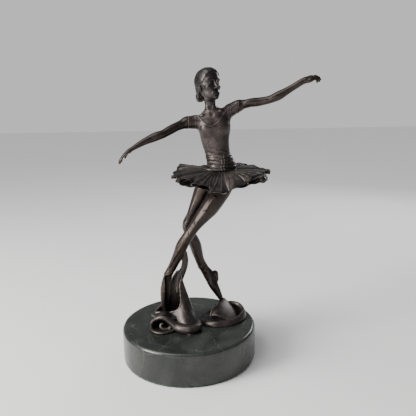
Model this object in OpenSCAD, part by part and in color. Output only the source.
// Bronze statuette of a dancer on a round stone base.
// Millimetres. +Z is up, the dancer faces -Y, and the origin is the centre of the
// felt's underside. The figure's own heights are counted from the top of the stone.

/* [Stone base] */
// Diameter of the round stone base
base_d = 120; // [118:1:130]
// Height of the base, from the table to the top of the stone
base_h = 30; // [28:1:36]
// Radius of the rounded upper edge of the stone
base_edge_r = 3; // [1:0.5:5]
// Thickness of the felt pad under the stone
felt_t = 1.5; // [1:0.25:2]

/* [Fasteners] */
// Diameter of the two studs that hold the bronze to the stone
stud_d = 6; // [5:0.5:6]
// Height of the nut recesses above the felt
recess_h = 11; // [10.5:0.5:13]
// Diameter of the dowels between the castings
dowel_d = 3; // [2:0.5:3.5]
// Diameter of the pins under the toes
toe_pin_d = 2; // [1.5:0.25:2.5]

/* [Skirt] */
// Radius of the upper layer of the skirt
skirt_r = 40.5; // [36:0.5:42]
// Number of waves round the hem
skirt_waves = 11; // [7:1:14]
// Height of the waves at the hem, from middle to crest
skirt_wave_h = 2.2; // [0:0.2:3]
// How far the skirt dips at the front and lifts at the back
skirt_tilt = 7.5; // [0:0.5:9]

/* [Hidden] */

bronze = [0.27, 0.21, 0.17];
dark_bronze = [0.21, 0.17, 0.15];
stone = [0.24, 0.27, 0.25];
green_felt = [0.10, 0.16, 0.12];
steel = [0.62, 0.63, 0.65];

// Points round a limb, round the trunk, and along the drape's arc
limb_n = 20;
trunk_n = 48;
skirt_n = 96;
arc_n = 26;
eps = 0.01;

// Standard M6 hardware
hole_clearance = 1;
recess_d = 16;
washer_d = 12;
washer_t = 1.6;
lock_washer_d = 11;
lock_washer_t = 1.6;
nut_af = 10;
nut_h = 5;
stud_tail = 1.5;
stud_grip = 8;
stone_chamfer = 0.7;
felt_margin = 1;

// Where the studs pass through the stone
drape_stud_at = [-12, 0];
wave_stud_at = [36, 8];

// Limb stations: [x, y, z, half width seen from the front, half depth]
front_leg_path = [
    [31.5, -3, 126, 7.6, 8.2], [28.5, -4.5, 120.5, 7.4, 8], [20, -7, 108.5, 7.3, 7.6],
    [15.3, -8.5, 102, 6.7, 6.9], [10, -9.5, 95, 5.2, 5.7], [5.4, -9, 89, 4.3, 4.8],
    [0.6, -8, 82, 4.2, 4.9], [-4.3, -6, 74, 4.5, 5.1], [-7.8, -4, 66.5, 4.2, 4.7],
    [-11.2, -2.5, 60, 3.6, 3.9], [-14.7, -1, 53, 3.1, 3.3], [-17.6, 0, 46.5, 3, 3.6],
    [-19, 1.5, 36, 3.8, 5], [-19.9, 2.5, 26, 3.4, 4.2], [-20.4, 3.5, 16, 2.7, 3],
    [-20.6, 4, 10, 2, 2.2]];
rear_leg_path = [
    [14.7, 4, 126, 7.4, 8], [12.5, 5, 120, 7.2, 7.6], [7, 7, 100.5, 6, 6.4],
    [0.9, 8, 90, 4.9, 5.4], [1.5, 11, 81.5, 4.9, 5.2], [5.8, 15, 69.5, 5.6, 5.6],
    [8.3, 17, 61, 5, 5], [9.8, 18, 55, 4.2, 4.2], [12, 19.5, 48.5, 3.4, 3.6],
    [15.9, 21, 43, 3.3, 3.6], [20.5, 22, 36, 4.2, 4.6], [22.5, 21.3, 29.5, 4.1, 4.2],
    [25, 20.5, 24.3, 3.5, 3.5], [28.2, 20, 17.5, 2.4, 2.6], [30.5, 20, 13, 1.9, 2]];
left_arm_path = [
    [45, -1, 192.4, 4.2, 4.4], [49, -2.2, 193.6, 3.8, 4.2], [55.2, -4, 194.8, 3.5, 3.8],
    [69.5, -8, 196.9, 3.4, 3.5], [79, -10, 200.7, 3.5, 3.5], [86.7, -11.5, 205.2, 2.8, 2.9],
    [95, -13, 210, 2.1, 2.5], [102.8, -14, 213.2, 2.4, 3.7], [107.5, -14, 212.4, 1.8, 3.1],
    [110.8, -14, 209.8, 0.9, 1.6]];
right_arm_path = [
    [4, -1, 179.8, 4.4, 4.6], [-0.5, -3, 178.5, 4, 4.3], [-6, -6, 176.4, 3.6, 4],
    [-16.5, -12, 171.2, 3.6, 3.6], [-25.4, -14, 168, 3.4, 3.4], [-32.6, -16, 165, 2.8, 2.9],
    [-41.5, -18, 160, 1.9, 2.4], [-46.8, -19, 155.7, 2.2, 3.4], [-50, -19.7, 152, 1.8, 3],
    [-52, -20, 148.8, 1, 1.6]];
girdle_path = [
    [4, -1, 179.8, 4.4, 4.6], [9.6, 1, 180.8, 5, 5.6], [16, 1.5, 182.5, 5.2, 7],
    [24, 2, 184.5, 5.5, 7.6], [32, 1.5, 187, 5.2, 7], [39, 1, 189.6, 4.8, 5.6],
    [45, -1, 192.4, 4.2, 4.4]];
collar_path = [[24, 3, 184, 6.6, 6.4], [23.5, 3, 187.5, 5.6, 5.8], [23.2, 3, 190, 5.1, 5.3]];
neck_path = [
    [23.2, 3, 190, 5.1, 5.3], [22.4, 2, 194, 4.5, 4.8], [21.8, 1, 198, 4.4, 5],
    [21.3, 0, 203, 5, 6]];
// Trunk from the thighs to the shoulders, and which of its rings end each casting
trunk_path = [
    [23.4, 0.5, 126, 16.6, 9.4], [27, 0.3, 131, 15.8, 10.4], [30, 0, 136, 14, 10.8],
    [30.9, 0, 141, 12.2, 10.4], [29.6, 0, 147, 11, 9.4], [28.4, 0, 152, 10.4, 8.6],
    [27.6, 0, 157, 10.4, 8.4], [26.2, 0, 166, 11.6, 8.8], [25.8, 0, 176, 13.3, 9.3],
    [24.8, 0.8, 183, 13.4, 8.4], [24.4, 1.5, 187.5, 8.6, 6.6]];
trunk_steps = 3;
skirt_ring = 7;
sash_ring = 9;
waist_ring = 15;
sash_top_ring = 17;
sash_wall = 1.3;

// Head, in its own frame: it faces -Y, with the origin at its centre
head_at = [20.8, -0.6, 211];
head_turn = 38;
head_lift = 10;
head_path = [
    [0, -5.6, -12.4, 2.2, 2.6], [0, -4.2, -10.6, 4.6, 5.4], [0, -2.6, -6.8, 6.6, 8],
    [0, -1, -2, 8, 9.8], [0, 0, 3.2, 8.4, 10.6], [0, 0.6, 8, 7.4, 9.4],
    [0, 0.8, 11.4, 4.8, 6.2], [0, 0.8, 12.8, 1.6, 2.2]];
nose_path = [
    [0, -10, 1.6, 0.7, 0.9], [0, -11, -1, 0.9, 1.2], [0, -11.6, -3, 1.4, 1.4],
    [0, -10.4, -4.2, 0.9, 0.9]];
bun_at = [0, 10, -6.5];
bun_r = 4.4;

// Drape: outer radius at its foot by angle, then radius, centre and ends of its arc by
// height. Above the knee of the bell it narrows to the strand behind the calf
flounce = [
    [-180, 21], [-161, 24.5], [-140, 26], [-126, 24.6], [-110, 18], [-98, 12.5], [-85, 18],
    [-63, 26], [-40, 25.5], [-25, 23.5], [0, 18.5], [50, 17.5], [100, 16], [150, 21], [180, 21]];
flounce_h = 14;
bell_r = [
    [0, 16], [5, 15.8], [12.5, 14.9], [23, 12], [32, 10], [42, 6.7], [46, 5.4], [50, 3.8],
    [56, 2.7], [68, 1.9]];
bell_x = [
    [0, -10], [12.5, -11], [23, -12], [32, -12.9], [42, -13], [46, -10.2], [50, -6], [56, -2.3],
    [62, -1.5], [68, -2.3]];
bell_y = [[0, -4], [12.5, 0], [32, 2], [46, 3], [56, 2.6], [68, 1.5]];
bell_from = [
    [0, -177], [10, -165], [13, -120], [17, -88], [24, -66], [34, -52], [46, -30], [50, -55],
    [68, -90]];
bell_to = [[0, 164], [10, 158], [14, 140], [24, 125], [46, 104], [68, 118]];
bell_z = [0, 2, 5, 8, 11, 13, 16, 20, 25, 31, 37, 42, 46, 49, 52, 56, 62, 68];
bell_wall = 1.8;
drape_floor = [[-12, -1, 0, 17, 12], [-12.5, -0.5, 5, 15.5, 12], [-15, 0.5, 10, 10.5, 9]];

// Wave: outline by angle, height of its rim by angle, and the crest that the toe stands on
wave_at = [33, 7];
wave_outline = [
    [0, 18], [13, 21], [41, 20], [68, 18], [100, 18], [140, 19.5], [186, 26.5], [207, 24.5],
    [226, 23.7], [248, 22.7], [271, 20], [307, 16.5], [360, 18]];
wave_rim = [[0, 9], [41, 11.5], [100, 10], [186, 5], [226, 5.5], [271, 5.5], [320, 6], [360, 9]];
wave_crest = [
    [33, -5, 4, 8, 3], [31, 0, 7, 8.5, 3.6], [29.5, 8, 10, 7.6, 3.4], [30, 15, 11, 5.6, 2.6],
    [30.6, 22, 11, 3.6, 2]];

function unit(v) = v / norm(v);

// Point at t of the way along span i of a smooth curve through the rows of p
function spline(p, i, t) =
    let (last = len(p) - 1,
         a = i > 0 ? p[i - 1] : 2 * p[0] - p[1],
         b = p[i],
         c = p[i + 1],
         d = i + 2 <= last ? p[i + 2] : 2 * p[last] - p[last - 1])
    0.5 * (2 * b + (c - a) * t + (2 * a - 5 * b + 4 * c - d) * t * t
           + (3 * b - a - 3 * c + d) * t * t * t);
function smooth(p, steps) =
    [for (i = [0 : len(p) - 2]) for (k = [0 : steps - 1]) spline(p, i, k / steps), p[len(p) - 1]];

// One elliptical ring of a limb, square to the direction dir. The ring's depth lies
// along depth_axis
function limb_ring(s, dir, n, depth_axis) =
    let (u = unit(cross(dir, depth_axis)), v = unit(cross(dir, u)))
    [for (k = [0 : n - 1])
        [s[0], s[1], s[2]] + s[3] * cos(360 * k / n) * u + s[4] * sin(360 * k / n) * v];
function centre(s) = [s[0], s[1], s[2]];

// Triangles over a grid of rows by cols points: the columns close on themselves,
// and the rows do too when wrap is true
function grid_faces(rows, cols, wrap) =
    [for (i = [0 : rows - (wrap ? 1 : 2)]) for (k = [0 : cols - 1])
        let (i2 = (i + 1) % rows, k2 = (k + 1) % cols)
        each [[i * cols + k, i2 * cols + k, i2 * cols + k2],
              [i * cols + k, i2 * cols + k2, i * cols + k2]]];

// A closed solid through a list of rings, with flat ends
module skin(rings) {
    n = len(rings[0]);
    rows = len(rings);
    first = [for (k = [0 : n - 1]) k];
    last = [for (k = [n - 1 : -1 : 0]) (rows - 1) * n + k];
    polyhedron([for (r = rings) each r], concat(grid_faces(rows, n, false), [first, last]), 4);
}

// A smooth limb through its stations. start and end are the directions of its flat ends
module limb(path, start, end, steps = 2, n = limb_n, depth_axis = [0, 1, 0]) {
    s = smooth(path, steps);
    last = len(s) - 1;
    skin([for (i = [0 : last])
        limb_ring(s[i],
                  i == 0 ? start : i == last ? end : unit(centre(s[i + 1]) - centre(s[i - 1])),
                  n, depth_axis)]);
}

// Level elliptical rings of the trunk, grown outwards by wall
function trunk_rings(from, to, wall = 0, n = trunk_n) =
    let (s = smooth(trunk_path, trunk_steps))
    [for (i = [from : to]) [for (k = [0 : n - 1])
        [s[i][0] + (s[i][3] + wall) * cos(360 * k / n),
         s[i][1] + (s[i][4] + wall) * sin(360 * k / n),
         s[i][2]]]];
trunk_last = (len(trunk_path) - 1) * trunk_steps;

// Joins free-form solids into one mesh at their own size
module fuse() { resize([0, 0, 0]) union() children(); }

module on_stone() { translate([0, 0, base_h]) children(); }

module in_head() {
    translate(head_at) rotate([0, 0, head_turn]) rotate([-head_lift, 0, 0]) children();
}

// An upright or leaning round bar between two points
module bar(from, to, d, extra = 0) {
    run = to - from;
    translate(from - unit(run) * extra)
        rotate([0, acos(run[2] / norm(run)), atan2(run[1], run[0])])
            cylinder(h = norm(run) + 2 * extra, d = d, $fn = 48);
}

// Dowels and pins: [from, to] on each joint, shared by the dowel and by both of its bores
neck_dowel_ends = [[23.3, 3, 185], [22.9, 2.6, 195]];
waist_dowel_ends = [[28.4, 0, 144], [28.4, 0, 160]];
left_shoulder_ends = [[40, 0, 190.2], [50, -2, 193.4]];
right_shoulder_ends = [[9, 1, 181], [-1, -2.4, 178.6]];
left_hip_ends = [[31, -3.2, 133], [30, -3.8, 120]];
right_hip_ends = [[15.5, 3.6, 132], [13.6, 4.6, 120]];
front_toe_ends = [[-20.6, 4, 4], [-20.5, 3.8, 15]];
rear_toe_ends = [[30.6, 20, 8], [29.6, 20, 15.5]];

module dowel(ends, d = dowel_d) { bar(ends[0], ends[1], d); }

module marble_base() {
    hole_d = stud_d + hole_clearance;
    r = base_d / 2;
    color(stone) difference() {
        rotate_extrude($fn = 180) union() {
            translate([0, felt_t + stone_chamfer])
                square([r, base_h - base_edge_r - felt_t - stone_chamfer]);
            translate([0, felt_t]) square([r - stone_chamfer, stone_chamfer + eps]);
            translate([0, base_h - base_edge_r - eps])
                square([r - base_edge_r, base_edge_r + eps]);
            translate([r - base_edge_r, base_h - base_edge_r]) circle(base_edge_r, $fn = 48);
        }
        for (at = [drape_stud_at, wave_stud_at]) translate([at[0], at[1], 0]) {
            cylinder(h = base_h + 1, d = hole_d, $fn = 48);
            cylinder(h = felt_t + recess_h, d = recess_d, $fn = 64);
        }
    }
}

module felt_pad() {
    color(green_felt) cylinder(h = felt_t, d = base_d - 2 * felt_margin, $fn = 180);
}

// The hardware hangs down from the roof of its recess
roof = felt_t + recess_h;
washer_z = roof - washer_t;
lock_washer_z = washer_z - lock_washer_t;
nut_z = lock_washer_z - nut_h;

module stud(at) {
    color(steel) translate([at[0], at[1], nut_z - stud_tail])
        cylinder(h = base_h + stud_grip - nut_z + stud_tail, d = stud_d, $fn = 48);
}

module flat_ring(at, z, d, h) {
    color(steel) translate([at[0], at[1], z]) difference() {
        cylinder(h = h, d = d, $fn = 48);
        translate([0, 0, -1]) cylinder(h = h + 2, d = stud_d + 0.4, $fn = 48);
    }
}

module lock_ring(at) {
    gap = 1;
    difference() {
        flat_ring(at, lock_washer_z, lock_washer_d, lock_washer_t);
        translate([at[0], at[1] - gap / 2, lock_washer_z - 1])
            cube([lock_washer_d, gap, lock_washer_t + 2]);
    }
}

module nut(at) {
    color(steel) translate([at[0], at[1], nut_z]) difference() {
        cylinder(h = nut_h, d = nut_af / cos(30), $fn = 6);
        translate([0, 0, -1]) cylinder(h = nut_h + 2, d = stud_d, $fn = 48);
    }
}

module drape_stud() { stud(drape_stud_at); }
module wave_stud() { stud(wave_stud_at); }
module drape_washer() { flat_ring(drape_stud_at, washer_z, washer_d, washer_t); }
module wave_washer() { flat_ring(wave_stud_at, washer_z, washer_d, washer_t); }
module drape_lock_washer() { lock_ring(drape_stud_at); }
module wave_lock_washer() { lock_ring(wave_stud_at); }
module drape_nut() { nut(drape_stud_at); }
module wave_nut() { nut(wave_stud_at); }

module stud_bore(at) {
    translate([at[0], at[1], base_h - 1]) cylinder(h = stud_grip + 1, d = stud_d, $fn = 48);
}

// One level of the drape's wall: out along the arc, and back along its inner side
function bell_radius(a, z) =
    lookup(z, bell_r)
    + (lookup(a, flounce) - 16) * pow(max(0, 1 - z / flounce_h), 1.4);
function bell_level(z) =
    let (from = lookup(z, bell_from),
         to = lookup(z, bell_to),
         c = [lookup(z, bell_x), lookup(z, bell_y)],
         at = function(k, inset)
             let (a = from + (to - from) * k / arc_n, r = bell_radius(a, z) - inset)
             [c[0] + r * cos(a), c[1] + r * sin(a), z])
    concat([for (k = [0 : arc_n]) at(k, 0)], [for (k = [arc_n : -1 : 0]) at(k, bell_wall)]);

module drape_swirl() {
    color(bronze) difference() {
        on_stone() fuse() {
            skin([for (z = bell_z) bell_level(z)]);
            limb(drape_floor, [0, 0, 1], [0, 0, 1], steps = 1);
        }
        stud_bore(drape_stud_at);
        on_stone() dowel(front_toe_ends, toe_pin_d);
    }
}

// Rings of the wave: bottom, bulging side, rolled rim, and the dish inside it
function wave_ring(scale_by, z_of) =
    [for (k = [0 : 2 * limb_n - 1])
        let (a = 180 * k / limb_n, r = lookup(a, wave_outline) * scale_by)
        [wave_at[0] + r * cos(a), wave_at[1] + r * sin(a), z_of(lookup(a, wave_rim))]];

module wave_pad() {
    color(bronze) difference() {
        on_stone() union() {
            skin([wave_ring(0.96, function(h) 0), wave_ring(1, function(h) 0.25 * h),
                  wave_ring(0.99, function(h) 0.7 * h), wave_ring(0.92, function(h) h),
                  wave_ring(0.8, function(h) h - 0.6), wave_ring(0.66, function(h) 4.6),
                  wave_ring(0.3, function(h) 4)]);
            limb(wave_crest, [0, 1, 0.3], [0, 1, 0], depth_axis = [0, 0, 1]);
        }
        stud_bore(wave_stud_at);
        on_stone() dowel(rear_toe_ends, toe_pin_d);
    }
}

module front_leg() {
    color(bronze) on_stone() difference() {
        limb(front_leg_path, [0, 0, -1], [0, 0, -1]);
        dowel(left_hip_ends);
        dowel(front_toe_ends, toe_pin_d);
    }
}

module rear_leg() {
    color(dark_bronze) on_stone() difference() {
        limb(rear_leg_path, [0, 0, -1], [0, 0, -1]);
        dowel(right_hip_ends);
        dowel(rear_toe_ends, toe_pin_d);
    }
}

module hips() {
    color(dark_bronze) on_stone() difference() {
        skin(trunk_rings(0, waist_ring));
        dowel(waist_dowel_ends);
        dowel(left_hip_ends);
        dowel(right_hip_ends);
    }
}

// Hem height of the skirt's upper layer
function hem_z(a) = 134.5 + skirt_tilt * sin(a) + skirt_wave_h * cos(skirt_waves * a + 60);

// The skirt's profile at one angle: out along the pleated upper layer, back under it,
// out along the plain lower layer and back to the hips
function skirt_profile(a, low, high) =
    let (low_z = 128.6 + 1.5 * sin(a),
         out = [cos(a), sin(a), 0],
         root_r = norm([high[0] - 30.9, high[1]]),
         top = function(s) [30.9, 0, 0] + out * (root_r + (skirt_r - root_r) * s)
             + [0, 0, high[2] + (hem_z(a) - high[2]) * pow(s, 1.2)],
         under = function(s, z) [30.9, 0, z] + out * (root_r + (skirt_r - root_r) * s))
    [high, top(0.25), top(0.5), top(0.75), top(0.93), top(1), top(0.99) - [0, 0, 1.6],
     top(0.78) - [0, 0, 2.2], under(0.8, low_z + 1.4), under(0.93, low_z + 1),
     under(0.92, low_z - 0.4), under(0.5, low_z + 1.6), low];

module skirt() {
    rings = trunk_rings(skirt_ring, sash_ring, 0, skirt_n);
    rows = [for (k = [0 : skirt_n - 1])
        skirt_profile(360 * k / skirt_n, rings[0][k], rings[sash_ring - skirt_ring][k])];
    color(bronze) on_stone()
        polyhedron([for (r = rows) each r], grid_faces(skirt_n, len(rows[0]), true), 4);
}

module sash() {
    inner = trunk_rings(sash_ring, sash_top_ring);
    outer = trunk_rings(sash_ring, sash_top_ring, sash_wall);
    loop = [for (k = [0 : trunk_n - 1])
        concat([for (r = inner) r[k]],
               [for (i = [len(outer) - 1 : -1 : 0]) outer[i][k]])];
    color(bronze) on_stone()
        polyhedron([for (r = loop) each r], grid_faces(trunk_n, len(loop[0]), true), 4);
}

module torso() {
    color(bronze) on_stone() difference() {
        union() {
            skin(trunk_rings(waist_ring, trunk_last));
            limb(girdle_path, [1, 0, 0], [1, 0, 0]);
            limb(collar_path, [0, 0, 1], [0, 0, 1]);
        }
        dowel(waist_dowel_ends);
        dowel(neck_dowel_ends);
        dowel(left_shoulder_ends);
        dowel(right_shoulder_ends);
    }
}

module left_arm() {
    color(bronze) on_stone() difference() {
        limb(left_arm_path, [1, 0, 0], [0.6, 0, -0.8]);
        dowel(left_shoulder_ends);
    }
}

module right_arm() {
    color(bronze) on_stone() difference() {
        limb(right_arm_path, [-1, 0, 0], [-0.5, 0, -0.8]);
        dowel(right_shoulder_ends);
    }
}

module head() {
    color(dark_bronze) on_stone() difference() {
        union() {
            limb(neck_path, [0, 0, 1], [0, 0, 1]);
            in_head() {
                limb(head_path, [0, 0, 1], [0, 0, 1]);
                limb(nose_path, [0, 0, -1], [0, 0, -1], n = 8);
                translate(bun_at) sphere(bun_r, $fn = 32);
            }
        }
        dowel(neck_dowel_ends);
    }
}

module neck_dowel() { color(steel) on_stone() dowel(neck_dowel_ends); }
module waist_dowel() { color(steel) on_stone() dowel(waist_dowel_ends); }
module left_shoulder_dowel() { color(steel) on_stone() dowel(left_shoulder_ends); }
module right_shoulder_dowel() { color(steel) on_stone() dowel(right_shoulder_ends); }
module left_hip_dowel() { color(steel) on_stone() dowel(left_hip_ends); }
module right_hip_dowel() { color(steel) on_stone() dowel(right_hip_ends); }
module front_toe_pin() { color(steel) on_stone() dowel(front_toe_ends, toe_pin_d); }
module rear_toe_pin() { color(steel) on_stone() dowel(rear_toe_ends, toe_pin_d); }

marble_base();
felt_pad();
drape_stud();
wave_stud();
drape_washer();
wave_washer();
drape_lock_washer();
wave_lock_washer();
drape_nut();
wave_nut();
drape_swirl();
wave_pad();
front_leg();
rear_leg();
hips();
skirt();
sash();
torso();
left_arm();
right_arm();
head();
neck_dowel();
waist_dowel();
left_shoulder_dowel();
right_shoulder_dowel();
left_hip_dowel();
right_hip_dowel();
front_toe_pin();
rear_toe_pin();
